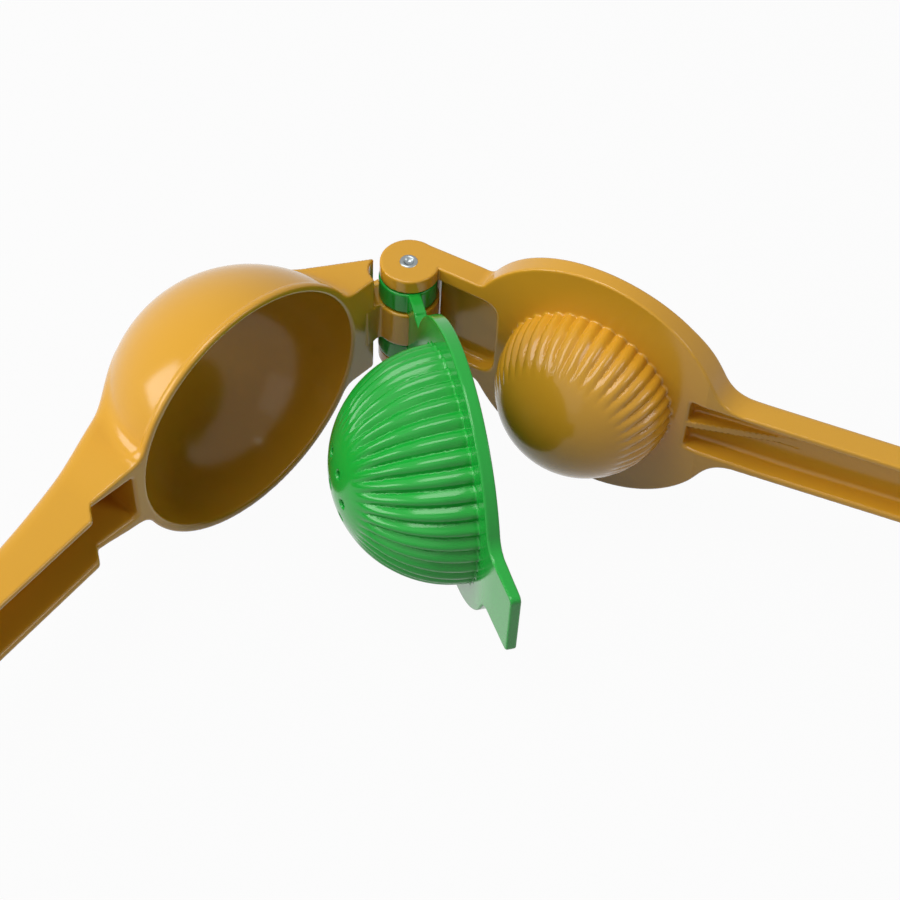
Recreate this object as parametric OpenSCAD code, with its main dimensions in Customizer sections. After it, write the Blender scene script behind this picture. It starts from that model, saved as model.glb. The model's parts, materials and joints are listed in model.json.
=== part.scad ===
// Hinged citrus squeezer: a bowl, a strainer insert and a press that turn on one rivet.
// Each leaf is drawn closed and lying along +X from the hinge axis: X runs out along the leaf,
// Y runs from the bowl towards the press, and Z is the hinge axis. Then it is swung open.

/* [Hinge] */
// Radius of the rivet's shank
rivet_r = 2; // [1.5:0.1:3]
// Radius of the rivet's set head
rivet_head_r = 2.3; // [2.1:0.1:4]
// Height of the rivet's set head
rivet_head_h = 0.7; // [0.4:0.1:1.2]
// Radius of the dimple in the rivet's head
dimple_r = 1.15; // [0.6:0.05:1.3]
// Depth of the dimple in the rivet's head
dimple_depth = 0.9; // [0.4:0.1:1.5]
// Radial clearance between the rivet and every bore
pin_clearance = 0.05; // [0.02:0.01:0.1]
// Radius of the bowl's middle knuckle
bowl_knuckle_r = 7.9; // [7.5:0.1:8.6]
// Height of the bowl's middle knuckle along the hinge
bowl_knuckle_h = 11.2; // [9:0.1:14]
// Radius of the insert's two knuckles
insert_knuckle_r = 7.3; // [6.8:0.1:8]
// Height of each insert knuckle along the hinge
insert_knuckle_h = 6.4; // [5:0.1:8]
// Radius of the press arm's two ears
ear_r = 7.3; // [6.6:0.1:7.5]
// Height of each ear along the hinge
ear_h = 3.8; // [3:0.1:5]
// Gap between neighbouring knuckles along the hinge
knuckle_gap = 0.3; // [0.2:0.05:0.5]
// Gap between a knuckle and an arm that is scooped out round it
scoop_gap = 0.6; // [0.4:0.1:1]

/* [Stack] */
// Distance from the hinge axis to the centre of the bowl, insert and press
reach = 50.2; // [48:0.1:56]
// Gap between one closed leaf and the next
seat_gap = 0.3; // [0.2:0.05:0.6]
// Thickness of the insert's flange, neck and tab
flange_t = 3.1; // [2.6:0.1:3.6]
// How far the flange's lower face lies below the hinge axis
flange_drop = 1.7; // [1.4:0.1:2]

/* [Bowl] */
// Radius of the bowl's cavity at the rim
bowl_r = 33; // [32:0.1:33.6]
// Thickness of the bowl's wall at the bottom
bowl_wall = 2.6; // [2:0.1:3.4]
// Width of the bowl's rim
rim_t = 2.2; // [1.8:0.1:3]
// How far the insert's flange and the press plate stand back from the bowl's rim
rim_step = 0.2; // [0:0.05:1]
// Height of the thickened band round the rim
rim_h = 1.6; // [1:0.1:3]
// How far the rim's band stands out from the bowl's outside
rim_lip = 0.5; // [0.3:0.1:0.8]
// How much narrower each side of the bowl's hinge arm is than the hinge
bowl_arm_step = 0.4; // [0:0.1:1]
// How far the back of the bowl's hinge arm would lie below the hinge axis, drawn back to it
bowl_arm_drop = 4.3; // [3.6:0.1:5]
// Slope of the back of the bowl's hinge arm, in degrees
bowl_arm_slope = 33; // [28:1:38]
// Radius of the juice holes in the bowl
drain_r = 2; // [1:0.1:3]
// Radius of the ring of juice holes
drain_ring_r = 9; // [7:0.5:12]
// Number of juice holes in the ring
drain_count = 6; // [3:1:8]

/* [Strainer insert] */
// Gap between the bowl and the crests of the insert's flutes
insert_gap = 4.5; // [3.5:0.1:5.5]
// Depth of the insert's flutes
insert_flute_depth = 1.3; // [0.6:0.1:1.6]
// Number of flutes round the insert
insert_flutes = 40; // [30:2:50]
// Where the insert's flutes have faded out, in degrees up from the flange
insert_flute_end = 64; // [50:1:72]
// Wall of the insert under the bottom of its flutes
insert_wall = 2; // [1.6:0.1:2.6]
// How much narrower each side of the neck is than the knuckles that it carries
neck_step = 0.1; // [0:0.05:1]
// Depth of the notch on each side of the neck where it meets the flange
neck_notch = 0.6; // [0.3:0.1:1.5]
// Length of that notch
neck_notch_l = 2.4; // [1.5:0.1:4]
// Half the width of the finger tab
tab_w = 10; // [8:0.1:10.2]
// Length of the finger tab beyond the flange
tab_l = 12; // [9:0.1:14]
// Radius of the finger tab's corners
tab_corner_r = 1.6; // [0.5:0.1:3]
// Radius of the strainer holes
strainer_r = 1.1; // [0.8:0.1:1.6]
// Radius of the ring of strainer holes
strainer_ring_r = 7.9; // [6:0.1:10]
// Number of strainer holes in the ring
strainer_count = 7; // [5:1:9]
// Turn of the ring of strainer holes, in degrees
strainer_turn = 13; // [0:1:51]

/* [Press] */
// Thickness of the press plate at its thinnest
plate_t = 4.4; // [3.4:0.1:5.4]
// Radius of the plate's slightly curved back
plate_back_r = 200; // [150:10:300]
// Gap between the hollow of the insert and the crests of the press dome's flutes
dome_gap = 3; // [2:0.1:4]
// Height of the dome's straight foot above the plate
dome_foot = 1.3; // [0.6:0.1:2.5]
// Depth of the press dome's flutes
dome_flute_depth = 0.8; // [0.4:0.1:1.2]
// Number of flutes round the press dome
dome_flutes = 40; // [24:2:50]
// Where the press dome's flutes have faded out, in degrees up from the plate
dome_flute_end = 46; // [30:1:70]
// Wall of the press dome under the bottom of its flutes
dome_wall = 2.4; // [2:0.1:3]
// Slope of the back of the press's hinge arm, in degrees
press_arm_slope = 5.3; // [3:0.1:7]
// Distance between the dome and the pocket in the press's hinge arm
pocket_gap = 4; // [2.5:0.1:6]
// Radius of the two corners of the pocket in the press's hinge arm
pocket_corner_r = 4; // [2:0.5:6]
// Thickness of the back wall behind that pocket
pocket_back_t = 2.2; // [1.6:0.1:3]
// Radius of the fillets where the hinge arm runs into the plate
arm_fillet_r = 1.5; // [1:0.5:5]
// Radius of the fillets where the handle runs into the plate
handle_fillet_r = 5; // [3:0.5:8]
// Thickness of the gusset in the press handle's channel
gusset_t = 2; // [1.2:0.1:3]
// Distance over which the gusset slopes down to the channel's floor
gusset_run = 24; // [18:1:45]

/* [Handles] */
// Distance from the hinge axis to the ends of both handles
handle_end = 212; // [190:1:230]
// Radius of the handles' rounded ends, seen from the front
handle_end_r = 4.8; // [4:0.1:5]
// Wall of the handles' channels
handle_wall = 2; // [1.8:0.1:3]
// Radius of the corners where the handles' channels start
channel_corner_r = 1.2; // [0.8:0.1:3]
// How much narrower each side of a channel is at its floor
channel_draft = 0.6; // [0:0.1:1]
// Size of the bevels along a channel's floor
channel_bevel = 1; // [0.4:0.1:2]
// Radius of the handles' rounded back edges
handle_back_r = 3.5; // [2:0.1:4]
// Radius of the handles' rounded lips
handle_lip_r = 0.8; // [0.3:0.1:1.1]
// Half the width of the bowl's handle next to the bowl
bowl_handle_root_w = 10.5; // [10.2:0.1:11.5]
// Half the width of the bowl's handle beyond its notch
bowl_handle_w = 9; // [8.5:0.1:10.2]
// Distance over which it narrows from one to the other
bowl_handle_taper = 15; // [8:1:30]
// Depth of the bowl's handle where it leaves the bowl
bowl_handle_root_depth = 21.6; // [18:0.1:23]
// Depth of the bowl's handle at its end
bowl_handle_end_depth = 9.5; // [7:0.1:12]
// How soon the bowl's handle loses its depth: 1 is evenly along it, more is nearer the bowl
bowl_handle_curve = 3.8; // [1:0.1:5]
// Upward slope of the bowl's handle, in degrees
bowl_handle_slope = 7.6; // [5:0.1:8.5]
// Distance between the bowl's rim and the start of its handle's channel
bowl_channel_gap = 1.6; // [1:0.1:6]
// Gap between the end of the closed tab and the notch that lets it in
tab_gap = 1.4; // [1:0.1:4]
// Length of the curved step up from the notch
notch_run = 3.6; // [2.5:0.1:5]
// Height of the step up from the notch
notch_rise = 4; // [2.5:0.1:4.5]
// Half the width of the press's handle next to the plate
press_handle_root_w = 9.9; // [9:0.1:11]
// Half the width of the press's handle at its end
press_handle_w = 8.8; // [8.5:0.1:10]
// Depth of the press's handle
press_handle_depth = 7.2; // [6:0.1:9]
// Slope of the press's handle away from the bowl's, in degrees
press_handle_slope = 8.7; // [8:0.1:12]
// How far inside the plate's edge that slope starts
press_bend_in = 5.2; // [3:0.1:8]
// Distance between the dome and the start of the press handle's channel
press_channel_gap = 4.1; // [3:0.1:6]
// Half the width of the press handle's channel where it starts
press_channel_w = 8.4; // [7:0.1:8.8]
// Distance over which that channel narrows
press_channel_taper = 25; // [10:1:40]
// Distance over which the press handle's back rises out of the plate
press_back_blend = 14; // [8:1:30]

/* [Rest pose] */
// Direction of the bowl's leaf, in degrees
bowl_angle = 226.8; // [180:0.1:270]
// How far the insert is swung away from the bowl, in degrees
insert_open = 57.7; // [0:0.1:90]
// How far the press is swung away from the insert, in degrees
press_open = 46.2; // [0:0.1:90]

/* [Hidden] */
$fn = 96;

yellow = [0.86, 0.60, 0.20];
green = [0.13, 0.62, 0.19];
steel = [0.78, 0.79, 0.80];

// Hinge, from the middle outwards along Z
bore_r = rivet_r + pin_clearance;
bowl_knuckle_top = bowl_knuckle_h / 2;
insert_knuckle_z = bowl_knuckle_top + knuckle_gap;
insert_knuckle_top = insert_knuckle_z + insert_knuckle_h;
ear_z = insert_knuckle_top + knuckle_gap;
ear_top = ear_z + ear_h;
arm_scoop_r = max(insert_knuckle_r, ear_r) + scoop_gap;
knuckle_scoop_r = bowl_knuckle_r + scoop_gap;

// Closed stack, along Y
flange_y = -flange_drop;
flange_top_y = flange_y + flange_t;
rim_y = flange_y - seat_gap;
press_y = flange_top_y + seat_gap;
plate_back_y = press_y + plate_t;

// The round outlines. The bowl's outside is a sphere that meets the rim's band and is bowl_wall
// thick at the bottom.
rim_r = bowl_r + rim_t;
flange_r = rim_r - rim_step;
plate_r = rim_r - rim_step;
outer_rim_r = rim_r - rim_lip;
outer_depth = bowl_r + bowl_wall;
outer_r = (outer_rim_r^2 + outer_depth^2) / (2 * outer_depth);
outer_y = rim_y - outer_depth + outer_r;

// Domes, one inside the other
insert_crest_r = bowl_r - insert_gap;
insert_hollow_r = insert_crest_r - insert_flute_depth - insert_wall;
dome_crest_r = insert_hollow_r - dome_gap;
dome_hollow_r = dome_crest_r - dome_flute_depth - dome_wall;
dome_y = press_y - dome_foot;

// Arms, neck and tab
bowl_arm_w = ear_top - bowl_arm_step;
neck_w = insert_knuckle_top - neck_step;
neck_notch_x = reach - sqrt(flange_r^2 - neck_w^2) - neck_notch_l;
pocket_end = reach - dome_crest_r - pocket_gap;
tab_end = reach + flange_r + tab_l;
notch_x = tab_end + tab_gap;

// Channels
bowl_channel_start = reach + rim_r + bowl_channel_gap;
press_channel_start = reach + dome_crest_r + press_channel_gap;
press_bend_x = reach + plate_r - press_bend_in;
gusset_end = press_channel_start + gusset_run;
inner_end_r = handle_end_r - handle_wall;

// Where the bowl's arm and handle end inside its wall, where its handle is deepest, and where the
// press's handle starts in its plate
bowl_arm_end = reach - 0.6 * bowl_r;
bowl_handle_root = reach + 0.65 * outer_r;
bowl_deepest_x = reach + 0.86 * outer_r;
press_handle_root = press_channel_start - 3 * handle_wall;
pocket_w = insert_knuckle_top + knuckle_gap / 2;
crown_r = (rivet_head_r^2 + (rivet_head_h / 2)^2) / rivet_head_h;

// Samples of one flute, steps of a fluted skin below and above the flutes' end, and the angle
// over which the flutes fade
flute_samples = 6;
flute_steps = 7;
cap_steps = 3;
flute_fade = 24;

// Steps of the handles' skins, overlap of joined solids, and length of through cuts
handle_step = 9;
corner_steps = 4;
notch_steps = 5;
fillet_steps = 6;
bite = 0.5;
overlap = 0.05;
cut = 60;

function smooth(t) = let (u = min(1, max(0, t))) u * u * (3 - 2 * u);
function mix(a, b, t) = a + (b - a) * t;

// Places along a handle: even steps between two places, and round its end
handle_stop = handle_end - handle_end_r;
function places(a, b, step) = let (n = round((b - a) / step)) [for (k = [1:n]) mix(a, b, k / n)];
function round_end(r) = [for (k = [1:corner_steps]) handle_stop + r * sin(90 * k / corner_steps)];
// How far a corner of radius r has closed in, t beyond its start
function closed_in(r, t) = t <= 0 ? 0 : r - sqrt(max(0, r^2 - t^2));
// The places of a channel that starts at a: its round start, the bends further on, and its round end
function channel_places(a, bends) = concat(
    [for (k = [corner_steps:-1:0]) a + channel_corner_r * (1 - sin(90 * k / corner_steps))],
    [for (x = bends) if (x > a + channel_corner_r + bite) x],
    round_end(inner_end_r));
function channel_width(x, a, w) =
    w - closed_in(channel_corner_r, a + channel_corner_r - x) - closed_in(inner_end_r, x - handle_stop);

// Bowl handle: its front follows the rim, steps up past the tab, then rises steadily
function bowl_line(x) = rim_y + notch_rise + (x - notch_x - notch_run) * tan(bowl_handle_slope);
function bowl_front(x) = mix(rim_y, bowl_line(x), smooth((x - notch_x) / notch_run));
function bowl_back(x) =
    let (t = (handle_end - x) / (handle_end - bowl_deepest_x))
    bowl_line(x) - mix(bowl_handle_end_depth, bowl_handle_root_depth, t^bowl_handle_curve);
function bowl_width(x) =
    mix(bowl_handle_root_w, bowl_handle_w, smooth((x - reach - rim_r) / bowl_handle_taper));
bowl_places = concat(
    [bowl_handle_root],
    places(bowl_handle_root, notch_x, handle_step),
    places(notch_x, notch_x + notch_run, notch_run / notch_steps),
    places(notch_x + notch_run, handle_stop, handle_step));
bowl_outside = [for (x = concat(bowl_places, round_end(handle_end_r)))
    [x, bowl_front(x), bowl_back(x), bowl_width(x) - closed_in(handle_end_r, x - handle_stop)]];
bowl_channel = [for (x = channel_places(bowl_channel_start, bowl_places))
    [x, bowl_front(x), bowl_back(x), channel_width(x, bowl_channel_start, bowl_handle_w - handle_wall)]];

// Press handle: level with the plate's face, then sloping away from the bowl
function plate_back(x) = plate_back_y + plate_back_r - sqrt(plate_back_r^2 - (x - reach)^2);
function press_front(x) = press_y + max(2 * overlap, (x - press_bend_x) * tan(press_handle_slope));
function press_back(x) =
    let (t = smooth((x - press_handle_root) / press_back_blend))
    mix(plate_back(x) - bite, press_front(x) + press_handle_depth, t);
function press_width(x) =
    mix(press_handle_root_w, press_handle_w, (x - reach) / (handle_end - reach));
press_places = concat(
    [press_handle_root],
    places(press_handle_root, press_bend_x, handle_step / 2),
    places(press_bend_x, reach + plate_r, handle_step / 2),
    places(reach + plate_r, handle_stop, handle_step));
press_outside = [for (x = concat(press_places, round_end(handle_end_r)))
    [x, press_front(x), press_back(x), press_width(x) - closed_in(handle_end_r, x - handle_stop)]];
function press_inner(x) =
    let (t = smooth((x - press_channel_start) / press_channel_taper))
    mix(press_channel_w, press_width(x) - handle_wall, t);
press_channel = [for (x = channel_places(press_channel_start, press_places))
    [x, press_front(x), press_back(x), channel_width(x, press_channel_start, press_inner(x))]];

// Place of the whole object: it lies on its rims, with the middle of its footprint at the origin
press_angle = bowl_angle + insert_open + press_open;
function turned(p, a) = [p.x * cos(a) - p.y * sin(a), p.x * sin(a) + p.y * cos(a)];
handle_corners = concat(
    [for (y = [bowl_back(handle_end), bowl_front(handle_end)]) turned([handle_end, y], bowl_angle)],
    [for (y = [press_front(handle_end), press_back(handle_end)]) turned([handle_end, y], press_angle)]);
left = min([for (p = handle_corners) p.x]);
right = max([for (p = handle_corners) p.x]);
near = min([for (p = handle_corners) p.y]);
hinge = [-(left + right) / 2, -(near + bowl_knuckle_r) / 2, rim_r];

module leaf(angle) { translate(hinge) rotate([0, 0, angle]) children(); }

// A flat outline in X and Z, raised between two heights along Y
module slab(y0, y1) { translate([0, y1, 0]) rotate([90, 0, 0]) linear_extrude(y1 - y0) children(); }

// A disc whose axis runs along Y through the centre of the bowl, insert and press
module disc(r, y0, y1) { translate([reach, 0, 0]) slab(y0, y1) circle(r); }

// Something on the hinge, and the same below the middle
module both_ends() {
    children();
    mirror([0, 0, 1]) children();
}

// A stretch of the hinge between two heights
module barrel(r, z0, z1) { translate([0, 0, z0]) cylinder(r = r, h = z1 - z0); }

// The web that rounds off both concave corners between a disc and a straight strip of half width w.
// The strip runs towards the handle where side is 0, and towards the hinge where it is 1.
module corner_fillets(disc_r, f, w, side) {
    run = sqrt((disc_r + f)^2 - (w + f)^2);
    touch = 180 + atan2(w + f, run);
    arc = [for (k = [0:fillet_steps]) let (a = mix(touch, 270, k / fillet_steps), q = f + overlap)
        [run + q * cos(a), w + f + q * sin(a)]];
    translate([reach, 0]) mirror([side, 0])
        polygon(concat(arc, [for (k = [fillet_steps:-1:0]) [arc[k].x, -arc[k].y]]));
}

// A dome along -Y whose skin swells into rounded flutes that fade out towards a plain cap
module fluted_dome(r, depth, count, flute_end, y_centre, y_base) {
    n = count * flute_samples;
    cap = (90 - flute_end) / (cap_steps + 1);
    angles = concat(
        [for (k = [0:flute_steps]) flute_end * k / flute_steps],
        [for (k = [1:cap_steps]) flute_end + cap * k]);
    rings = len(angles);
    function dip(a, i) = depth * smooth((flute_end - a) / flute_fade)
        * (1 - abs(cos(180 * i / flute_samples)));
    function at(a, i) = let (q = r - dip(a, i), t = 360 * i / n)
        [q * cos(a) * cos(t), y_centre - q * sin(a), q * cos(a) * sin(t)];
    points = concat(
        [for (i = [0:n - 1]) let (p = at(0, i)) [p.x, y_base, p.z]],
        [for (a = angles) for (i = [0:n - 1]) at(a, i)],
        [[0, y_centre - r, 0]]);
    tip = len(points) - 1;
    faces = concat(
        [[for (i = [0:n - 1]) i]],
        [for (k = [0:rings - 1]) for (i = [0:n - 1])
            let (j = (i + 1) % n, b = k * n, t = b + n)
            each [[b + i, t + j, b + j], [b + i, t + i, t + j]]],
        [for (i = [0:n - 1]) [rings * n + i, tip, rings * n + (i + 1) % n]]);
    translate([reach, 0, 0]) polyhedron(points, faces);
}

// The skin over a row of cross-sections, each a list of [x, y, z] round the outline. flip is true
// where the outlines run the other way round.
module skin(sections, flip) {
    n = len(sections[0]);
    last = (len(sections) - 1) * n;
    faces = concat(
        [[for (i = [0:n - 1]) i]],
        [[for (i = [n - 1:-1:0]) last + i]],
        [for (a = [0:n:last - n]) for (i = [0:n - 1])
            let (j = (i + 1) % n, b = a + n)
            each [[a + i, b + j, a + j], [a + i, b + i, b + j]]]);
    polyhedron([for (s = sections) each s],
        flip ? [for (f = faces) [for (i = [len(f) - 1:-1:0]) f[i]]] : faces);
}

// Cross-section of a handle's outside: a back with rounded edges and two slightly rounded lips
function handle_outline(x, front, back, w, up) =
    let (r = min(handle_back_r, w - overlap), l = handle_lip_r, f = up * front, b = up * back,
         arc = [for (k = [0:corner_steps]) 90 * k / corner_steps])
    [for (p = concat(
        [[w - l, f], [w, f - l]],
        [for (t = arc) [w - r + r * cos(t), b + r - r * sin(t)]],
        [for (t = arc) [-w + r - r * sin(t), b + r - r * cos(t)]],
        [[-w, f - l], [-w + l, f]])) [x, up * p.y, p.x]];

// Cross-section of a channel, drawn past the lips so that it cuts them clean
function channel_outline(x, front, back, w, up) =
    let (top = up * front + handle_wall, low = up * back + handle_wall,
         side = w - channel_draft, b = channel_bevel)
    [for (p = [[w, top], [side, low + b], [side - b, low], [b - side, low], [-side, low + b], [-w, top]])
        [x, up * p.y, p.x]];

// The outside of a handle, and the channel cut out of it. Both follow a row of stations, each given
// as x, front, back and half width. up is 1 where the handle opens towards +Y, -1 towards -Y.
module handle(stations, up) {
    skin([for (s = stations) handle_outline(s[0], s[1], s[2], s[3], up)], up < 0);
}
module channel(stations, up) {
    skin([for (s = stations) channel_outline(s[0], s[1], s[2], s[3], up)], up < 0);
}

// Juice or strainer holes: one in the middle and a ring of them
module ring_of_holes(r, ring_r, count, turn) {
    translate([reach, 0, 0]) slab(-cut, -insert_crest_r / 2) {
        circle(r);
        for (k = [0:count - 1]) rotate(turn + 360 * k / count) translate([ring_r, 0]) circle(r);
    }
}

module bowl_arm() color(yellow) leaf(bowl_angle) difference() {
    union() {
        intersection() {
            translate([reach, outer_y, 0]) sphere(outer_r);
            disc(cut, -cut, rim_y);
        }
        disc(rim_r, rim_y - rim_h, rim_y);
        handle(bowl_outside, 1);
        bowl_hinge_arm();
        barrel(bowl_knuckle_r, -bowl_knuckle_top, bowl_knuckle_top);
    }
    translate([reach, rim_y, 0]) sphere(bowl_r);
    channel(bowl_channel, 1);
    both_ends() barrel(arm_scoop_r, bowl_knuckle_top, cut);
    barrel(bore_r, -cut, cut);
    ring_of_holes(drain_r, drain_ring_r, drain_count, 0);
}

// The bowl's hinge arm, deeper towards the bowl, and the web that carries the middle knuckle
module bowl_hinge_arm() {
    web_end = 1.4 * arm_scoop_r;
    function arm_back(x) = -bowl_arm_drop - x * tan(bowl_arm_slope);
    linear_extrude(2 * bowl_arm_w, center = true) polygon([[0, rim_y], [bowl_arm_end, rim_y],
        [bowl_arm_end, arm_back(bowl_arm_end)], [0, arm_back(0)]]);
    linear_extrude(bowl_knuckle_h, center = true) polygon([[0, rim_y], [web_end, rim_y],
        [web_end, arm_back(web_end)], [0, -bowl_knuckle_r]]);
}

module lime_insert() color(green) leaf(bowl_angle + insert_open) difference() {
    union() {
        disc(flange_r, flange_y, flange_top_y);
        fluted_dome(insert_crest_r, insert_flute_depth, insert_flutes, insert_flute_end,
            flange_y + 2 * overlap, flange_y + bite);
        slab(flange_y, flange_top_y) {
            neck();
            tab();
        }
        both_ends() barrel(insert_knuckle_r, insert_knuckle_z, insert_knuckle_top);
    }
    translate([reach, flange_y, 0]) sphere(insert_hollow_r);
    disc(insert_hollow_r, flange_y, cut);
    barrel(knuckle_scoop_r, -insert_knuckle_z, insert_knuckle_z);
    barrel(bore_r, -cut, cut);
    ring_of_holes(strainer_r, strainer_ring_r, strainer_count, strainer_turn);
}

// The neck from the knuckles to the flange, with a small notch on each side at its root
module neck() {
    root = reach - flange_r / 2;
    x = neck_notch_x;
    w = neck_w - neck_notch;
    polygon([[0, neck_w], [x, neck_w], [x + neck_notch, w], [root, w],
        [root, -w], [x + neck_notch, -w], [x, -neck_w], [0, -neck_w]]);
}

// The finger tab at the flange's far side
module tab() {
    r = tab_corner_r;
    translate([reach, -tab_w]) square([tab_end - r - reach, 2 * tab_w]);
    translate([reach, r - tab_w]) square([tab_end - reach, 2 * (tab_w - r)]);
    for (s = [-1, 1]) translate([tab_end - r, s * (tab_w - r)]) circle(r);
}

module press_arm() color(yellow) leaf(press_angle) difference() {
    union() {
        press_plate();
        barrel(ear_r, -ear_top, ear_top);
        fluted_dome(dome_crest_r, dome_flute_depth, dome_flutes, dome_flute_end, dome_y, press_y + bite);
        handle(press_outside, -1);
    }
    difference() {
        channel(press_channel, -1);
        gusset();
    }
    translate([reach, dome_y, 0]) sphere(dome_hollow_r);
    disc(dome_hollow_r, dome_y, cut);
    pocket();
    barrel(knuckle_scoop_r, -ear_z, ear_z);
    barrel(bore_r, -cut, cut);
}

// The plate and the hinge arm with their fillets, thicker towards the arm and the handle
module press_plate() difference() {
    thick = plate_back(reach + plate_r + handle_fillet_r);
    arm_end = reach / 2;
    union() {
        slab(press_y, thick) {
            translate([reach, 0]) circle(plate_r);
            corner_fillets(plate_r, arm_fillet_r, ear_top, 1);
        }
        linear_extrude(2 * ear_top, center = true) polygon([[0, press_y], [arm_end, press_y],
            [arm_end, ear_r + arm_end * tan(press_arm_slope)], [0, ear_r - overlap]]);
        difference() {
            slab(press_y, thick) corner_fillets(plate_r, handle_fillet_r, press_handle_root_w, 0);
            translate([0, 2 * overlap, 0]) linear_extrude(cut, center = true) polygon([
                [press_bend_x, 0], [press_bend_x, press_y],
                [press_bend_x + cut, press_front(press_bend_x + cut)], [press_bend_x + cut, 0]]);
        }
    }
    translate([reach, plate_back_y + plate_back_r, 0])
        cylinder(r = plate_back_r, h = 2 * cut, center = true, $fn = 250);
}

// The hollow between the ears, open towards the bowl, with a back wall behind it
module pocket() {
    r = pocket_corner_r;
    slab(-cut, plate_back(pocket_end) - pocket_back_t) {
        translate([0, -pocket_w]) square([pocket_end - r, 2 * pocket_w]);
        translate([0, r - pocket_w]) square([pocket_end, 2 * (pocket_w - r)]);
        for (s = [-1, 1]) translate([pocket_end - r, s * (pocket_w - r)]) circle(r);
    }
}

// The rib along the middle of the press handle's channel, sloping down to the channel's floor
module gusset() {
    x0 = press_channel_start - bite;
    low = press_back(gusset_end) - handle_wall;
    slope = (low - press_y) / (gusset_end - press_bend_x);
    linear_extrude(gusset_t, center = true) polygon([[x0, press_y + (x0 - press_bend_x) * slope],
        [gusset_end, low], [gusset_end, low + handle_wall], [x0, press_back(x0)]]);
}

module hinge_rivet() color(steel) leaf(press_angle) difference() {
    union() {
        barrel(rivet_r, -ear_top, ear_top);
        both_ends() translate([0, 0, ear_top]) intersection() {
            cylinder(r = rivet_head_r, h = rivet_head_h);
            translate([0, 0, rivet_head_h - crown_r]) sphere(crown_r);
        }
    }
    both_ends() translate([0, 0, ear_top + rivet_head_h - dimple_depth])
        cylinder(r1 = dimple_r / 2, r2 = dimple_r, h = dimple_depth);
}

bowl_arm();
lime_insert();
press_arm();
hinge_rivet();
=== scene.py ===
# %% [markdown]
# # A hinged squeezer for lemons
# Three enamelled castings turn on one rivet: a bowl with a handle, a fluted strainer insert with a
# finger tab, and a press plate with a fluted dome and a second handle. It lies on its side, half
# open, on a white table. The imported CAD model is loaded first, because every piece built here has
# to sit exactly where the CAD solid sits and swing with the same body.

# %% Load the frame
import json
import math

import bmesh
import bpy
import numpy as np
from mathutils import Matrix, Quaternion, Vector


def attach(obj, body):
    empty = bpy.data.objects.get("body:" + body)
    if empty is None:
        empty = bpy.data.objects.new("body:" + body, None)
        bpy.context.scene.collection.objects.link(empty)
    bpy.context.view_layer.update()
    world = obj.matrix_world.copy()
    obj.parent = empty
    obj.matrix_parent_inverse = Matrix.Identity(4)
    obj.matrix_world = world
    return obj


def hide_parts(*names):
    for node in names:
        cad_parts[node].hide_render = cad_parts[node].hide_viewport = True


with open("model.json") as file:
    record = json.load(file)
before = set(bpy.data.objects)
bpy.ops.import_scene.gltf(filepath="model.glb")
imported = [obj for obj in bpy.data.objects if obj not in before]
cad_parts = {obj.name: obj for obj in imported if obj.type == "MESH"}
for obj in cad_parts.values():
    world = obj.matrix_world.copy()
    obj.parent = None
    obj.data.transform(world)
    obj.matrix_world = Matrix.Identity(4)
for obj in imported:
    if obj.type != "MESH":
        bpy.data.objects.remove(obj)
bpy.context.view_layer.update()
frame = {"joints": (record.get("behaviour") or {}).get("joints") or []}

joints = {joint["name"]: joint for joint in frame["joints"]}
hinge = Vector(joints["insert_swing"]["pos_m"])
mm = 0.001

# %% [markdown]
# The photograph was taken from above and in front, with a long lens. The camera looks at the hinge
# from 492 mm away and 47 degrees up, and is then turned a few degrees so that the hinge falls where
# it does in the photograph. It comes first, so that every later step can be judged in its view.

# %% Camera
camera_distance = 492.294 * mm
camera_height = math.radians(47.108)
pan, tilt, roll = (math.radians(a) for a in (-1.378, -4.088, -1.88))
sensor_mm, focal_px, frame_px = 36, 1962.194, 900
from_hinge = camera_distance * Vector((0, -math.cos(camera_height), math.sin(camera_height)))
forward = -from_hinge.normalized()
right = Vector((1, 0, 0))
up = right.cross(forward)
turn = Quaternion(up, pan)
forward, right = turn @ forward, turn @ right
turn = Quaternion(right, tilt)
forward, up = turn @ forward, turn @ up
turn = Quaternion(forward, roll)
right, up = turn @ right, turn @ up
camera_data = bpy.data.cameras.new("camera")
camera_data.sensor_width = sensor_mm
camera_data.lens = sensor_mm * focal_px / frame_px
camera_data.clip_start = 0.01
camera = bpy.data.objects.new("camera", camera_data)
facing = Matrix((right, up, -forward)).transposed().to_4x4()
camera.matrix_world = Matrix.Translation(hinge + from_hinge) @ facing
bpy.context.scene.collection.objects.link(camera)
bpy.context.scene.camera = camera
print("camera at", [round(c, 3) for c in hinge + from_hinge], "lens", round(camera_data.lens, 1))

# %% [markdown]
# Every shape below is written as a distance: a function that is negative inside the metal, zero on
# its skin and positive outside. The castings could also be made from subdivision surfaces and
# Booleans. But a real casting has no sharp corners, because the mould needs a radius and the enamel
# rounds it further, and a Boolean leaves each corner sharp. With distances, a soft maximum rounds
# an edge and a soft minimum fills a corner, each by a radius given in millimetres. The leaf's own
# axes are used: x runs out from the hinge, y from the bowl towards the press, and z along the hinge.

# %% Distances
blend_width = 1.2  # times the radius, which cuts a corner about as deep as a true round would


def softmax(a, b, radius):
    k = blend_width * radius
    h = np.maximum(k - np.abs(a - b), 0) / k
    return np.maximum(a, b) + h * h * k / 4


def softmin(a, b, radius):
    return -softmax(-a, -b, radius)


def ball(x, y, z, x0, y0, r):
    return np.sqrt((x - x0) ** 2 + (y - y0) ** 2 + z**2) - r


def round_bar(a, b, a0, b0, r):
    return np.sqrt((a - a0) ** 2 + (b - b0) ** 2) - r


def band(t, low, high):
    return np.maximum(low - t, t - high)


def below_line(x, y, x0, y0, slope):
    """Positive under the line through (x0, y0) that rises by slope degrees."""
    a = math.radians(slope)
    return (x - x0) * math.sin(a) - (y - y0) * math.cos(a)


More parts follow.
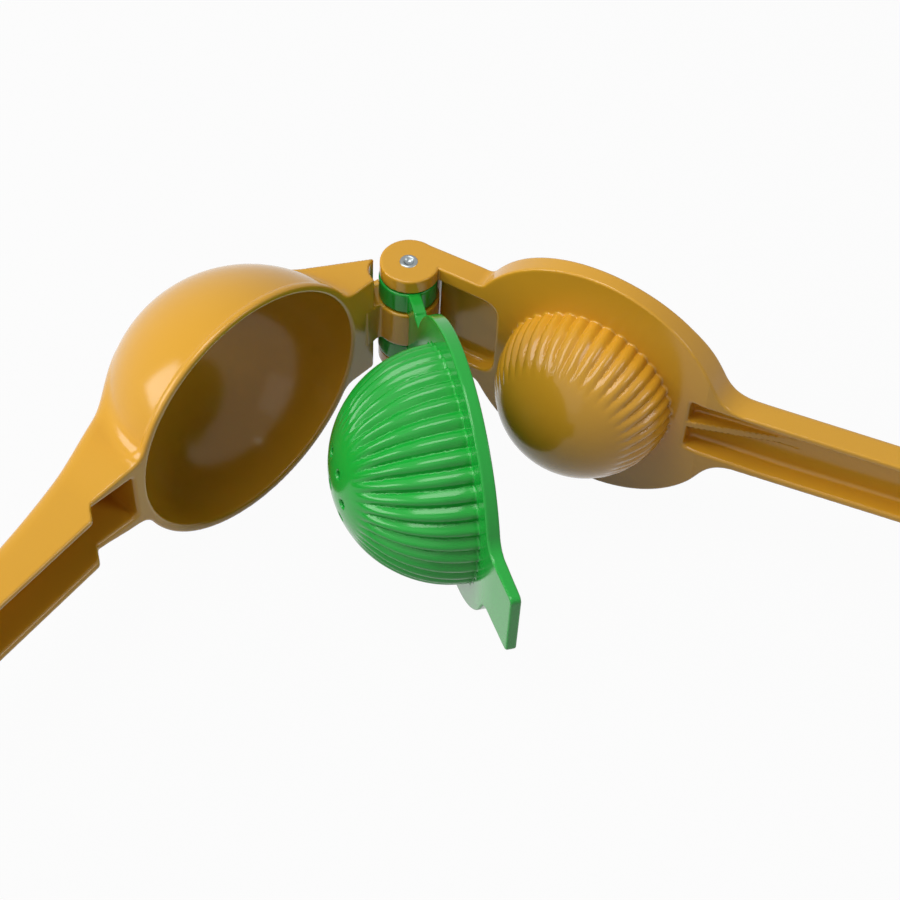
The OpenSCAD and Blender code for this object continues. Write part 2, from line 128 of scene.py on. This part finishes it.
print("a 1 mm round cuts a corner by", round(math.sqrt(2) * float(softmax(0.0, 0.0, 1.0)), 2), "mm")

# %% [markdown]
# Many sizes change along a casting, such as the width of a handle. A size that changes is a mix of
# its two ends, and the smooth step between them has no corner where it starts or stops.

# %% Sizes that change
def smooth(t):
    u = np.clip(t, 0, 1)
    return u * u * (3 - 2 * u)


def mix(a, b, t):
    return a + (b - a) * t


print("smooth step at a quarter", float(smooth(0.25)))

# %% [markdown]
# The sizes are in millimetres and are mostly the CAD's, so that each new skin lies on its solid.
# Some small forms were measured after the CAD was closed and differ from it by up to about 1 mm,
# such as the ears, the scoops, the back of the press's arm and the side of its handle.

# %% Sizes shared by the leaves
reach = 50.2
flange_y, flange_top_y, rim_y, press_y = -1.7, 1.4, -2.0, 1.7
bore_r, bowl_knuckle_r, insert_knuckle_r, ear_r = 2.05, 7.9, 7.3, 7.4
bowl_knuckle_top, insert_knuckle_z, insert_knuckle_top, ear_z, ear_top = 5.6, 5.9, 12.3, 12.6, 16.8
disc_r, knuckle_room_r = 35, 8.5
handle_end, handle_wall, handle_end_r, handle_back_r = 212, 2.0, 4.8, 3.5
bowl_angle = 226.8
insert_angle = bowl_angle + 57.7
press_angle = insert_angle + 46.2
print("closed stack", flange_top_y - rim_y, "mm from rim to plate")

# %% [markdown]
# A distance becomes a mesh in two steps. First the space is cut into small cells, and each cell that
# the skin crosses gets one vertex, joined to its neighbours by quads. Blender's Remesh modifier also
# cuts space into cells, but it starts from a mesh, and here there is none yet.

# %% Skin of a distance field
def grid_skin(field, low, high, step):
    """The quads of the surface where field is zero, one vertex in each cell that it crosses."""
    axes = [np.arange(l, h + step, step, dtype=np.float32) for l, h in zip(low, high)]
    f = field(axes[0][:, None, None], axes[1][None, :, None], axes[2][None, None, :])
    f = np.ascontiguousarray(np.broadcast_to(f, [len(a) for a in axes]), dtype=np.float32)
    inside = f < 0
    corners = [(a, b, c) for a in (0, 1) for b in (0, 1) for c in (0, 1)]
    shape = [n - 1 for n in f.shape]
    filled = np.zeros(shape, np.uint8)
    for a, b, c in corners:
        filled += inside[a : a + shape[0], b : b + shape[1], c : c + shape[2]]
    cells = np.nonzero((filled > 0) & (filled < len(corners)))
    number = np.full(shape, -1, np.int32)
    number[cells] = np.arange(len(cells[0]))
    values = [f[cells[0] + a, cells[1] + b, cells[2] + c] for a, b, c in corners]
    total = np.zeros((len(cells[0]), 3))
    count = np.zeros(len(cells[0]))
    for p, start in enumerate(corners):
        for q, end in enumerate(corners):
            if q > p and sum(abs(s - e) for s, e in zip(start, end)) == 1:
                crossed = (values[p] < 0) != (values[q] < 0)
                t = np.where(crossed, values[p] / np.where(crossed, values[p] - values[q], 1), 0)
                total += crossed[:, None] * (np.array(start) + t[:, None] * (np.array(end) - np.array(start)))
                count += crossed
    points = np.array([a[0] for a in axes]) + step * (np.stack(cells, 1) + total / count[:, None])
    return points, grid_quads(inside, number, shape)


def grid_quads(inside, number, shape):
    """One quad round each edge of the grid that leaves or enters the metal, facing outwards."""
    quads = []
    for axis in range(3):
        u, v = (axis + 1) % 3, (axis + 2) % 3
        near = np.take(inside, np.arange(shape[axis]), axis)
        far = np.take(inside, np.arange(1, shape[axis] + 1), axis)
        edges = np.stack(np.nonzero(near != far), 1)
        keep = (edges[:, u] > 0) & (edges[:, v] > 0) & (edges[:, u] < shape[u]) & (edges[:, v] < shape[v])
        edges = edges[keep]
        ring = []
        for du, dv in ((-1, -1), (0, -1), (0, 0), (-1, 0)):
            cell = edges.copy()
            cell[:, u] += du
            cell[:, v] += dv
            ring.append(number[tuple(cell.T)])
        ring = np.stack(ring, 1)
        leaving = near[tuple(edges.T)]
        quads.append(np.where(leaving[:, None], ring, ring[:, ::-1]))
    return np.concatenate(quads)


ball_points, ball_quads = grid_skin(lambda x, y, z: ball(x, y, z, 0, 0, 2), (-3, -3, -3), (3, 3, 3), 1)
print("a test ball of 2 mm has", len(ball_points), "points and", len(ball_quads), "quads")

# %% [markdown]
# In the second step the vertices move along the field's slope until they lie on the skin. The slope
# is also the exact normal, so it is stored in the mesh, and a flat face next to a round edge shades
# flat. The piece is then swung to its leaf's angle and takes the place of its CAD node.

# %% Cast a piece
def slope_of(field, p, h=0.02):
    """The field's gradient at the points p."""
    steps = h * np.eye(3)
    return np.stack([(field(*(p + s).T) - field(*(p - s).T)) / (2 * h) for s in steps], 1)


def cast(name, field, low, high, step, angle, body, node, material):
    """Makes the skin of a field as an object, swung to its leaf's angle, in place of a CAD node."""
    points, quads = grid_skin(field, low, high, step)
    for _ in range(3):
        g = slope_of(field, points)
        move = -field(*points.T)[:, None] * g / np.maximum((g * g).sum(1), 0.2)[:, None]
        points = points + np.clip(move, -step / 2, step / 2)
    g = slope_of(field, points)
    g = g / np.linalg.norm(g, axis=1)[:, None]
    a = math.radians(angle)
    swing = np.array([[math.cos(a), -math.sin(a), 0], [math.sin(a), math.cos(a), 0], [0, 0, 1]])
    mesh = bpy.data.meshes.new(name)
    mesh.from_pydata((points @ swing.T * mm + np.array(hinge)).tolist(), [], quads.tolist())
    mesh.polygons.foreach_set("use_smooth", np.ones(len(quads), bool))
    mesh.update()
    mesh.normals_split_custom_set_from_vertices((g @ swing.T).tolist())
    piece = bpy.data.objects.new(name, mesh)
    bpy.context.scene.collection.objects.link(piece)
    mesh.materials.append(material)
    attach(piece, body)
    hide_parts(node)
    print(name, len(points), "points", len(quads), "quads")


print("leaves at", [round(a, 1) for a in (bowl_angle, insert_angle, press_angle)], "degrees")

# %% [markdown]
# Hex colours are easy to compare with the photograph, but they are sRGB, and Blender's sockets take
# linear light. One function does the change for every colour below, and one more adds a node.

# %% Colours and nodes
def linear(code):
    values = [int(code[i : i + 2], 16) / 255 for i in (1, 3, 5)]
    return [v / 12.92 if v <= 0.04045 else ((v + 0.055) / 1.055) ** 2.4 for v in values] + [1]


def add(owner, kind, settings=(), links=()):
    """Adds a node. Settings are its properties and inputs, links are the sockets that feed inputs."""
    node = owner.node_tree.nodes.new(kind)
    for key, value in dict(settings).items():
        if isinstance(key, int) or key in node.inputs:
            node.inputs[key].default_value = value
        else:
            setattr(node, key, value)
    for key, socket in dict(links).items():
        owner.node_tree.links.new(socket, node.inputs[key])
    return node


def start_material(name):
    material = bpy.data.materials.new(name)
    material.use_nodes = True
    shader = material.node_tree.nodes["Principled BSDF"]
    shader.inputs["IOR"].default_value = 1.5
    return material, shader


print("mid grey is", round(linear("#808080")[0], 3), "in linear light")

# %% [markdown]
# The castings are aluminium with a baked enamel, a thick glossy paint over a cast surface. Enamel
# flows before it hardens, so its skin is smooth with a faint long wave, and it mirrors its
# surroundings at an IOR near 1.5. The pigment is dense and opaque. What tells it from plastic is the
# sharp reflection over a strong colour, and the wave that bends that reflection. The specular level
# is set under the usual 0.5, because the white studio would otherwise pale the colours too much.

# %% Enamel
tint_mm, wave_mm, wave_height = 25, 6, 0.0006


def enamel(name, colour, deep):
    material, shader = start_material(name)
    place = add(material, "ShaderNodeTexCoord").outputs["Object"]
    tint = add(material, "ShaderNodeTexNoise", {"Scale": 1000 / tint_mm, "Detail": 2.0}, {"Vector": place})
    two_tints = {"data_type": "RGBA", 6: linear(colour), 7: linear(deep)}
    mixed = add(material, "ShaderNodeMix", two_tints, {"Factor": tint.outputs["Fac"]})
    wave = add(material, "ShaderNodeTexNoise", {"Scale": 1000 / wave_mm, "Detail": 1.0}, {"Vector": place})
    faint = {"Strength": 0.06, "Distance": wave_height}
    bump = add(material, "ShaderNodeBump", faint, {"Height": wave.outputs["Fac"]})
    material.node_tree.links.new(mixed.outputs[2], shader.inputs["Base Color"])
    material.node_tree.links.new(bump.outputs["Normal"], shader.inputs["Normal"])
    shader.inputs["Roughness"].default_value = 0.16
    shader.inputs["Specular IOR Level"].default_value = 0.36
    return material


yellow_enamel = enamel("yellow_enamel", "#DBA32D", "#D69C29")
green_enamel = enamel("green_enamel", "#1AAA3A", "#18A236")
print("enamels", yellow_enamel.name, green_enamel.name)

# %% [markdown]
# The rivet is steel wire with its heads set by a punch. Steel is a metal through and through, so it
# gets full metalness, and its roughness stands for the fine marks of the tool. A faint wave about
# the axis bends the reflection in the head. The wave texture repeats every 2 pi / 20 units of its
# scale, which is 3.1 mm here, so one wave crosses the head and no separate rings show.

# %% Rivet steel
ring_scale, wave_period = 100, 2 * math.pi / 20
rivet_steel, shader = start_material("turned_steel")
place = add(rivet_steel, "ShaderNodeTexCoord").outputs["Object"]
centred = add(rivet_steel, "ShaderNodeVectorMath", {"operation": "SUBTRACT", 1: hinge}, {0: place})
turned = {"wave_type": "RINGS", "rings_direction": "Z", "Scale": ring_scale, "Distortion": 0.6}
rings = add(rivet_steel, "ShaderNodeTexWave", turned, {"Vector": centred.outputs[0]})
fine = {"Strength": 0.15, "Distance": 0.0001}
ring_bump = add(rivet_steel, "ShaderNodeBump", fine, {"Height": rings.outputs["Fac"]})
rivet_steel.node_tree.links.new(ring_bump.outputs["Normal"], shader.inputs["Normal"])
shader.inputs["Metallic"].default_value = 1.0
shader.inputs["Roughness"].default_value = 0.3
shader.inputs["Base Color"].default_value = linear("#8E9597")
print("the wave in the steel repeats every", round(wave_period / ring_scale / mm, 2), "mm")

# %% [markdown]
# A set rivet has a raised ring round a shallow dish, where the punch spread it over the ear. A
# bevelled cylinder would miss the dish. Turning one outline about the axis gives both heads and the
# shank in one piece, as a lathe would. Each point of the outline is a radius and a height.

# %% Rivet
head = [(0, 16.2), (0.5, 16.15), (1.1, 16.55), (1.35, 16.9), (1.7, 17.0)]
head += [(2.1, 16.9), (2.3, 16.65), (2.3, 16.5), (2.0, 16.4)]
outline = head + [(r, -z) for r, z in reversed(head)]
turned_bm = bmesh.new()
line = [turned_bm.verts.new((r, 0, z)) for r, z in outline]
edges = [turned_bm.edges.new(pair) for pair in zip(line, line[1:])]
bmesh.ops.spin(turned_bm, geom=line + edges, cent=(0, 0, 0), axis=(0, 0, 1), angle=2 * math.pi, steps=48)
bmesh.ops.remove_doubles(turned_bm, verts=turned_bm.verts, dist=0.001)
bmesh.ops.recalc_face_normals(turned_bm, faces=turned_bm.faces)
to_hinge = Matrix.Translation(hinge) @ Matrix.Scale(mm, 4)
bmesh.ops.transform(turned_bm, matrix=to_hinge, verts=turned_bm.verts)
rivet_mesh = bpy.data.meshes.new("set_rivet")
turned_bm.to_mesh(rivet_mesh)
turned_bm.free()
rivet_mesh.polygons.foreach_set("use_smooth", np.ones(len(rivet_mesh.polygons), bool))
rivet_mesh.materials.append(rivet_steel)
rivet = bpy.data.objects.new("set_rivet", rivet_mesh)
bpy.context.scene.collection.objects.link(rivet)
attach(rivet, "press")
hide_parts("hinge_rivet")
print("rivet", len(rivet_mesh.polygons), "faces")

# %% [markdown]
# The bowl's handle is a channel, open at the front to save metal. Near the bowl it is as deep as the
# bowl is, and a step in its front makes room for the insert's finger tab. Its front and back are two
# lines of x, which the bowl's own front shares, so both meet without a seam.

# %% Front and back of the bowl's handle
bowl_r, bowl_wall, rim_r, rim_lap = 33, 2.6, 35.2, 0.5
outer_depth = bowl_r + bowl_wall
outer_r = ((rim_r - rim_lap) ** 2 + outer_depth**2) / (2 * outer_depth)
outer_y = rim_y - outer_depth + outer_r
notch_x, notch_run, notch_rise, bowl_front_slope = 98.6, 3.6, 4, 7.6
handle_end_depth, handle_root_depth, depth_power = 9.5, 21.6, 3.8
deepest_share = 0.86  # of the outer radius: where the handle's back leaves the bowl


def bowl_line(x):
    return rim_y + notch_rise + (x - notch_x - notch_run) * math.tan(math.radians(bowl_front_slope))


def bowl_front(x):
    return mix(rim_y, bowl_line(x), smooth((x - notch_x) / notch_run))


def bowl_back(x):
    t = np.maximum(handle_end - x, 0) / (handle_end - reach - deepest_share * outer_r)
    return bowl_line(x) - mix(handle_end_depth, handle_root_depth, t**depth_power)


print("bowl's handle is", round(float(bowl_front(110) - bowl_back(110)), 1), "mm deep past its step")

# %% [markdown]
# The handle could be swept along a curve, but its width, depth and walls change at different places,
# so it is written as the part of space between its sides, front and back. The channel has draft, so
# that the casting leaves its mould, and round corners.

# %% Bowl handle
handle_root_w, handle_grip_w, handle_narrow_x, handle_narrow_run = 10.5, 9.0, 85.4, 15
bowl_channel_x, bowl_channel_w, bowl_channel_draft, draft_depth = 87, 7.0, 0.6, 10
buried = 20  # how near to the bowl's centre its arm and handle run, inside its wall


def bowl_handle(x, y, z):
    """The handle's outside, without its front, and its channel."""
    side = np.abs(z) - mix(handle_root_w, handle_grip_w, smooth((x - handle_narrow_x) / handle_narrow_run))
    outside = np.maximum(softmax(side, bowl_back(x) - y, handle_back_r), reach + buried - x)
    outside = softmax(outside, x - handle_end, handle_end_r)
    walls = np.abs(z) - bowl_channel_w + bowl_channel_draft * smooth((bowl_front(x) - y) / draft_depth)
    walls = softmax(walls, bowl_back(x) + handle_wall - y, 1.4)
    ends = np.maximum(bowl_channel_x - x, x - handle_end + handle_wall)
    return outside, softmax(walls, ends, 1.3)


print("bowl's handle is", 2 * handle_grip_w, "mm wide at the grip")

# %% [markdown]
# Both the bowl and the insert have a ring of drilled holes with one in the middle. In the bowl the
# juice runs out through them, and in the insert they keep the seeds back.

# %% Holes
juice_holes = {"count": 6, "first": 0, "ring_r": 9, "hole_r": 2, "top": -10, "edge": 0.5}
strainer_holes = {"count": 7, "first": 13, "ring_r": 7.9, "hole_r": 1.1, "top": -14, "edge": 0.3}


def drilled(solid, x, y, z, count, first, ring_r, hole_r, top, edge):
    """The solid with a ring of holes and one in the middle, all below y = top."""
    for k in range(count + 1):
        a = math.radians(first + 360 / count * k)
        away = ring_r if k < count else 0
        hole = round_bar(x - reach, z, away * math.cos(a), away * math.sin(a), hole_r)
        solid = softmax(solid, -np.maximum(hole, y - top), edge)
    return solid


print("holes", juice_holes["count"] + 1, "in the bowl,", strainer_holes["count"] + 1, "in the insert")

# %% [markdown]
# The bowl is one casting: a half sphere with a raised rim, a hinge arm that deepens towards it, and
# the handle. Two scoops in the arm's end leave room for the press's ears, which swing past it, and a
# web between them carries the middle knuckle.

# %% Bowl casting
rim_h, arm_w, arm_drop, arm_slope = 1.6, 16, 4.3, -33
web_slope, web_end = -17.7, 12
ear_scoop_r, heel_x, heel_y, heel_r = 7.8, 4.6, -2.1, 5


def bowl_field(x, y, z):
    centre = np.sqrt((x - reach) ** 2 + z**2)
    outside, channel = bowl_handle(x, y, z)
    rim = softmax(centre - rim_r, rim_y - rim_h - y, 0.5)
    shell = softmin(ball(x, y, z, reach, outer_y, outer_r), rim, 0.6)
    arm = softmax(np.abs(z) - arm_w, below_line(x, y, 0, -arm_drop, arm_slope), 0.6)
    arm = np.maximum(arm, np.maximum(-x, x - reach + buried))
    solid = softmin(softmin(shell, outside, 3), arm, 2.0)
    solid = softmax(solid, y - bowl_front(x), 0.7)
    scoop = np.minimum(round_bar(x, y, 0, 0, ear_scoop_r), round_bar(x, y, heel_x, heel_y, heel_r))
    solid = softmax(solid, -np.maximum(scoop, bowl_knuckle_top - np.abs(z)), 0.5)
    web = np.maximum(below_line(x, y, 0, -bowl_knuckle_r, web_slope), y - rim_y)
    web = np.maximum(np.maximum(web, np.abs(z) - bowl_knuckle_top), np.maximum(-x, x - web_end))
    knuckle = softmax(round_bar(x, y, 0, 0, bowl_knuckle_r), np.abs(z) - bowl_knuckle_top, 0.5)
    solid = softmin(solid, softmin(knuckle, web, 1), 0.8)
    solid = softmax(solid, -ball(x, y, z, reach, rim_y, bowl_r), 0.9)
    solid = softmax(solid, -channel, 1.0)
    solid = np.maximum(solid, -round_bar(x, y, 0, 0, bore_r))
    return drilled(solid, x, y, z, **juice_holes)


bowl_low, bowl_high = (-9.5, -39, -36), (213, 18, 36)
cast(
    "bowl_casting", bowl_field, bowl_low, bowl_high, 0.5,
    bowl_angle, "bowl", "bowl_arm", yellow_enamel,
)

# %% [markdown]
# Both domes have forty rounded flutes that meet in narrow valleys and fade out towards the top,
# which gives the fruit something to break on. They could be forty bent copies of one bar. As a
# distance they are one cosine round the dome, whose absolute value has broad crests and narrow
# valleys. A small number under the root keeps the valleys from being sharp.

# %% Flutes
flutes, flute_fade, valley_softness = 40, 24, 0.004


def fluted(x, y, z, y0, r, depth, flute_end):
    """A dome below y0, and a straight fluted wall above it."""
    away = np.sqrt((x - reach) ** 2 + z**2)
    drop = np.maximum(y0 - y, 0)
    rise = np.degrees(np.arctan2(drop, np.maximum(away, 0.01)))
    around = np.arctan2(z, x - reach)
    valley = 1 - np.sqrt(np.cos(around * flutes / 2) ** 2 + valley_softness)
    fade = smooth((flute_end - rise) / flute_fade)
    return np.sqrt(away**2 + drop**2) - r + depth * fade * np.maximum(valley, 0)


def hollow(x, y, z, y0, r):
    """A half ball open at the top, with straight walls above y0."""
    away = np.sqrt((x - reach) ** 2 + z**2)
    return np.sqrt(away**2 + np.minimum(y - y0, 0) ** 2) - r


print("each flute takes", 360 / flutes, "degrees")

# %% [markdown]
# The insert strains a lime and is smaller than the bowl, so it nests in it. Its flange carries two
# hinge knuckles on a neck with a small step in each side, and a finger tab that bends a few degrees
# towards the press and thins to its end, so that a finger gets under it.

# %% Insert casting
insert_crest_r, insert_hollow_r, insert_flute_depth, insert_flute_end = 28.5, 25.2, 1.3, 64
neck_x, neck_gain, neck_run = 6.7, 0.2, 0.4
neck_notch_x, neck_notch, neck_notch_run = 13.3, 0.6, 0.6
tab_w, tab_end, tab_bend_x, tab_lift, tab_top_lift = 10, 97.8, 84, 0.118, 0.075


def insert_field(x, y, z):
    neck_w = insert_knuckle_top + neck_gain * smooth((x - neck_x) / neck_run)
    neck_w = neck_w - neck_notch * smooth((x - neck_notch_x) / neck_notch_run)
    neck = np.maximum(np.abs(z) - neck_w, np.maximum(-x, x - reach))
    tab = softmax(np.maximum(np.abs(z) - tab_w, reach - x), x - tab_end, 1.2)
    plan = softmin(np.minimum(round_bar(x, z, reach, 0, disc_r), neck), tab, 3)
    bend = softmax(x - tab_bend_x, 0 * x, 4)
    solid = softmax(plan, band(y, flange_y + tab_lift * bend, flange_top_y + tab_top_lift * bend), 0.4)
    dome = fluted(x, y, z, flange_y, insert_crest_r, insert_flute_depth, insert_flute_end)
    solid = softmin(solid, np.maximum(dome, y - flange_y - 1), 0.3)
    knuckle_band = band(np.abs(z), insert_knuckle_z, insert_knuckle_top)
    solid = softmin(solid, softmax(round_bar(x, y, 0, 0, insert_knuckle_r), knuckle_band, 0.5), 0.4)
    room = np.maximum(round_bar(x, y, 0, 0, knuckle_room_r), np.abs(z) - insert_knuckle_z)
    solid = softmax(solid, -room, 0.3)
    solid = softmax(solid, -hollow(x, y, z, flange_y, insert_hollow_r), 0.8)
    solid = np.maximum(solid, -round_bar(x, y, 0, 0, bore_r))
    return drilled(solid, x, y, z, **strainer_holes)


insert_low, insert_high = (-9, -31.5, -36), (98.5, 9, 36)
cast(
    "insert_casting", insert_field, insert_low, insert_high, 0.42,
    insert_angle, "insert", "lime_insert", green_enamel,
)

# %% [markdown]
# The press pushes the fruit through the strainer. Its plate grows thicker towards the arm and the
# handle, along a very flat arc, and the handle bends away from the bowl's handle, which leaves room
# for the fingers. As with the bowl, its front and back are two lines of x.

# %% Front and back of the press
plate_back_y, plate_back_r, plate_back_end = 6.1, 200, 60
arm_back_y, arm_back_slope = 7.83, 1.4
press_bend_x, press_handle_slope, press_handle_depth = 80, 8.7, 7.2
handle_back_x, handle_back_run = 71, 16


def plate_back(x):
    away = np.minimum(np.abs(x - reach), plate_back_end)
    return plate_back_y + plate_back_r - np.sqrt(plate_back_r**2 - away**2)


def press_front(x):
    return press_y + np.maximum(0, x - press_bend_x) * math.tan(math.radians(press_handle_slope))


def press_back(x):
    arm_back = arm_back_y + x * math.tan(math.radians(arm_back_slope))
    near = np.where(x < reach, softmin(plate_back(x), arm_back, 1.0), plate_back(x))
    handle_back = press_front(x) + press_handle_depth
    return mix(near, handle_back, smooth((x - handle_back_x) / handle_back_run))


print("plate is", round(float(press_back(reach) - press_y), 1), "mm thick in the middle")

# %% [markdown]
# The press's handle is a channel too, but a gusset runs down its middle from the plate, where the
# bending is hardest. In the photograph the channel opens off the handle's middle and settles to it
# over 25 mm, and the gusset stands off the middle as well.

# %% Channel of the press's handle
press_root_w, press_end_w, press_off_z = 10.2, 9.1, 0.3
press_channel_x, press_channel_w, channel_off_z = 76.5, 8.1, 1.1
settle_x, settle_run, channel_settle = 77, 25, 0.8
gusset_off_z, gusset_half_w, gusset_run = 1.2, 1, 24


def press_width(x):
    return mix(press_root_w, press_end_w, (x - reach) / (handle_end - reach))


def press_channel(x, y, z):
    settle = smooth((x - settle_x) / settle_run)
    walls = np.abs(z - channel_off_z + channel_settle * settle)
    walls = walls - mix(press_channel_w, press_width(x) - handle_wall, settle)
    walls = softmax(walls, y - press_back(x) + handle_wall, 1.2)
    channel = softmax(walls, np.maximum(press_channel_x - x, x - handle_end + handle_wall), 1.2)
    foot = press_back(press_channel_x + gusset_run) - handle_wall
    rise = press_y + (x - press_channel_x) * (foot - press_y) / gusset_run - y
    gusset = np.maximum(np.abs(z - gusset_off_z) - gusset_half_w, rise)
    return softmax(channel, -gusset, 0.7)


print("press's handle is", 2 * press_end_w, "mm wide at its end")

# %% [markdown]
# The plate, the fluted dome and the arm are one casting with the handle. The dome is hollow behind,
# which keeps its wall even, so that the metal cools evenly. The arm is hollowed between its two ears
# to make room for the knuckles of the other leaves.

# %% Press casting
dome_y, dome_crest_r, dome_hollow_r, dome_flute_depth, dome_flute_end = 0.4, 22.2, 19, 0.8, 46
ear_x, ear_y = 0.1, 0.4
pocket_w, pocket_end, pocket_y = 12.45, 24, 5.42


def press_field(x, y, z):
    arm = np.maximum(np.abs(z) - ear_top, np.maximum(-x, x - reach))
    side = softmax(np.abs(z - press_off_z) - press_width(x), x - handle_end, handle_end_r)
    handle = np.maximum(side, reach - x)
    plan = softmin(softmin(round_bar(x, z, reach, 0, disc_r), arm, 1.5), handle, 5)
    solid = softmax(plan, y - press_back(x), mix(0.8, 1.5, smooth((x - press_bend_x) / 14)))
    solid = softmax(solid, press_front(x) - y, 0.5)
    ears = softmax(round_bar(x, y, ear_x, ear_y, ear_r), np.abs(z) - ear_top, 0.5)
    solid = np.minimum(solid, ears)
    dome = fluted(x, y, z, dome_y, dome_crest_r, dome_flute_depth, dome_flute_end)
    solid = softmin(solid, np.maximum(dome, y - press_y - 1), 0.5)
    solid = softmax(solid, -press_channel(x, y, z), 0.8)
    pocket = softmax(softmax(np.abs(z) - pocket_w, x - pocket_end, 4), y - pocket_y, 1.2)
    solid = softmax(solid, -np.maximum(pocket, -x), 0.6)
    room = np.maximum(round_bar(x, y, 0, 0, knuckle_room_r), np.abs(z) - ear_z)
    solid = softmax(solid, -room, 0.3)
    solid = softmax(solid, -hollow(x, y, z, dome_y, dome_hollow_r), 1.0)
    return np.maximum(solid, -round_bar(x, y, 0, 0, bore_r))


press_low, press_high = (-8.5, -23, -36), (213, 31, 36)
cast(
    "press_casting", press_field, press_low, press_high, 0.45,
    press_angle, "press", "press_arm", yellow_enamel,
)

# %% [markdown]
# Such a tool is photographed for a catalogue on a sweep of white paper. The paper could be lit until
# it is white, but that would wash out the enamel. Instead it glows for the rays that see it, from
# the camera, from a gloss or through glass, and is plain grey paper to all other light. A small part
# of the grey still shows, so the paper keeps a trace of the shadow.

# %% Floor
white_share, floor_half = 0.96, 3


def seen_directly(owner):
    """One for a ray from the camera, from a gloss or through glass, and nothing for the rest."""
    path = add(owner, "ShaderNodeLightPath")
    total = path.outputs["Is Camera Ray"]
    for kind in ("Is Glossy Ray", "Is Transmission Ray"):
        both = {0: total, 1: path.outputs[kind]}
        total = add(owner, "ShaderNodeMath", {"operation": "MAXIMUM"}, both).outputs[0]
    return total


white_paper, paper = start_material("white_paper")
paper.inputs["Base Color"].default_value = linear("#9A9A9A")
paper.inputs["Roughness"].default_value = 0.9
paper.inputs["Specular IOR Level"].default_value = 0.0
glow = add(white_paper, "ShaderNodeEmission", {"Color": (1, 1, 1, 1), "Strength": 1.0})
scaled = {"operation": "MULTIPLY", 1: white_share}
share = add(white_paper, "ShaderNodeMath", scaled, {0: seen_directly(white_paper)})
surfaces = {0: share.outputs[0], 1: paper.outputs[0], 2: glow.outputs[0]}
seen = add(white_paper, "ShaderNodeMixShader", {}, surfaces)
output = white_paper.node_tree.nodes["Material Output"]
white_paper.node_tree.links.new(seen.outputs[0], output.inputs["Surface"])
floor_mesh = bpy.data.meshes.new("floor")
floor_corners = [(floor_half * a, floor_half * b, 0) for a, b in ((-1, -1), (1, -1), (1, 1), (-1, 1))]
floor_mesh.from_pydata(floor_corners, [], [(0, 1, 2, 3)])
floor_mesh.materials.append(white_paper)
floor = bpy.data.objects.new("floor", floor_mesh)
bpy.context.scene.collection.objects.link(floor)
print("floor is", 2 * floor_half, "m wide")

# %% [markdown]
# The studio's walls are white where they are seen, and dim as a light, so that the lamps give the
# form and the hollows stay darker than the open faces.

# %% Studio
ambient = 0.08
world = bpy.data.worlds.new("studio")
bpy.context.scene.world = world
world.use_nodes = True
background = world.node_tree.nodes["Background"]
level = add(world, "ShaderNodeMix", {"A": ambient, "B": 1.0}, {"Factor": seen_directly(world)})
world.node_tree.links.new(level.outputs["Result"], background.inputs["Strength"])
background.inputs["Color"].default_value = (1, 1, 1, 1)
bpy.context.scene.view_settings.view_transform = "Standard"
print("walls give", ambient, "of white as light")

# %% [markdown]
# Four soft boxes give the form: a large one overhead, one low at the left, a faint one in front at
# the left and a small one at the right. Nobody knows where the real lamps stood, so the places and
# powers were tried until the tones came near the photograph's. A small sun lamp would give hard
# spots instead of patches.

# %% Lamps
middle = Vector((0, 0, 0.03))


def soft_box(name, place, size, power):
    light = bpy.data.lights.new(name, "AREA")
    light.shape = "RECTANGLE"
    light.size, light.size_y = size
    light.energy = power
    lamp = bpy.data.objects.new(name, light)
    lamp.location = place
    lamp.rotation_euler = (middle - Vector(place)).to_track_quat("-Z", "Y").to_euler()
    bpy.context.scene.collection.objects.link(lamp)
    print(name, power, "W")


soft_box("top_box", (-0.36, 0.02, 1.16), (0.7, 0.7), 8.8)
soft_box("left_box", (-1.0, -0.12, 0.48), (0.6, 0.55), 6)
soft_box("front_left_box", (-0.57, -0.8, 0.72), (1.0, 0.8), 1.3)
soft_box("right_box", (0.95, -0.25, 0.75), (0.35, 0.4), 2.2)
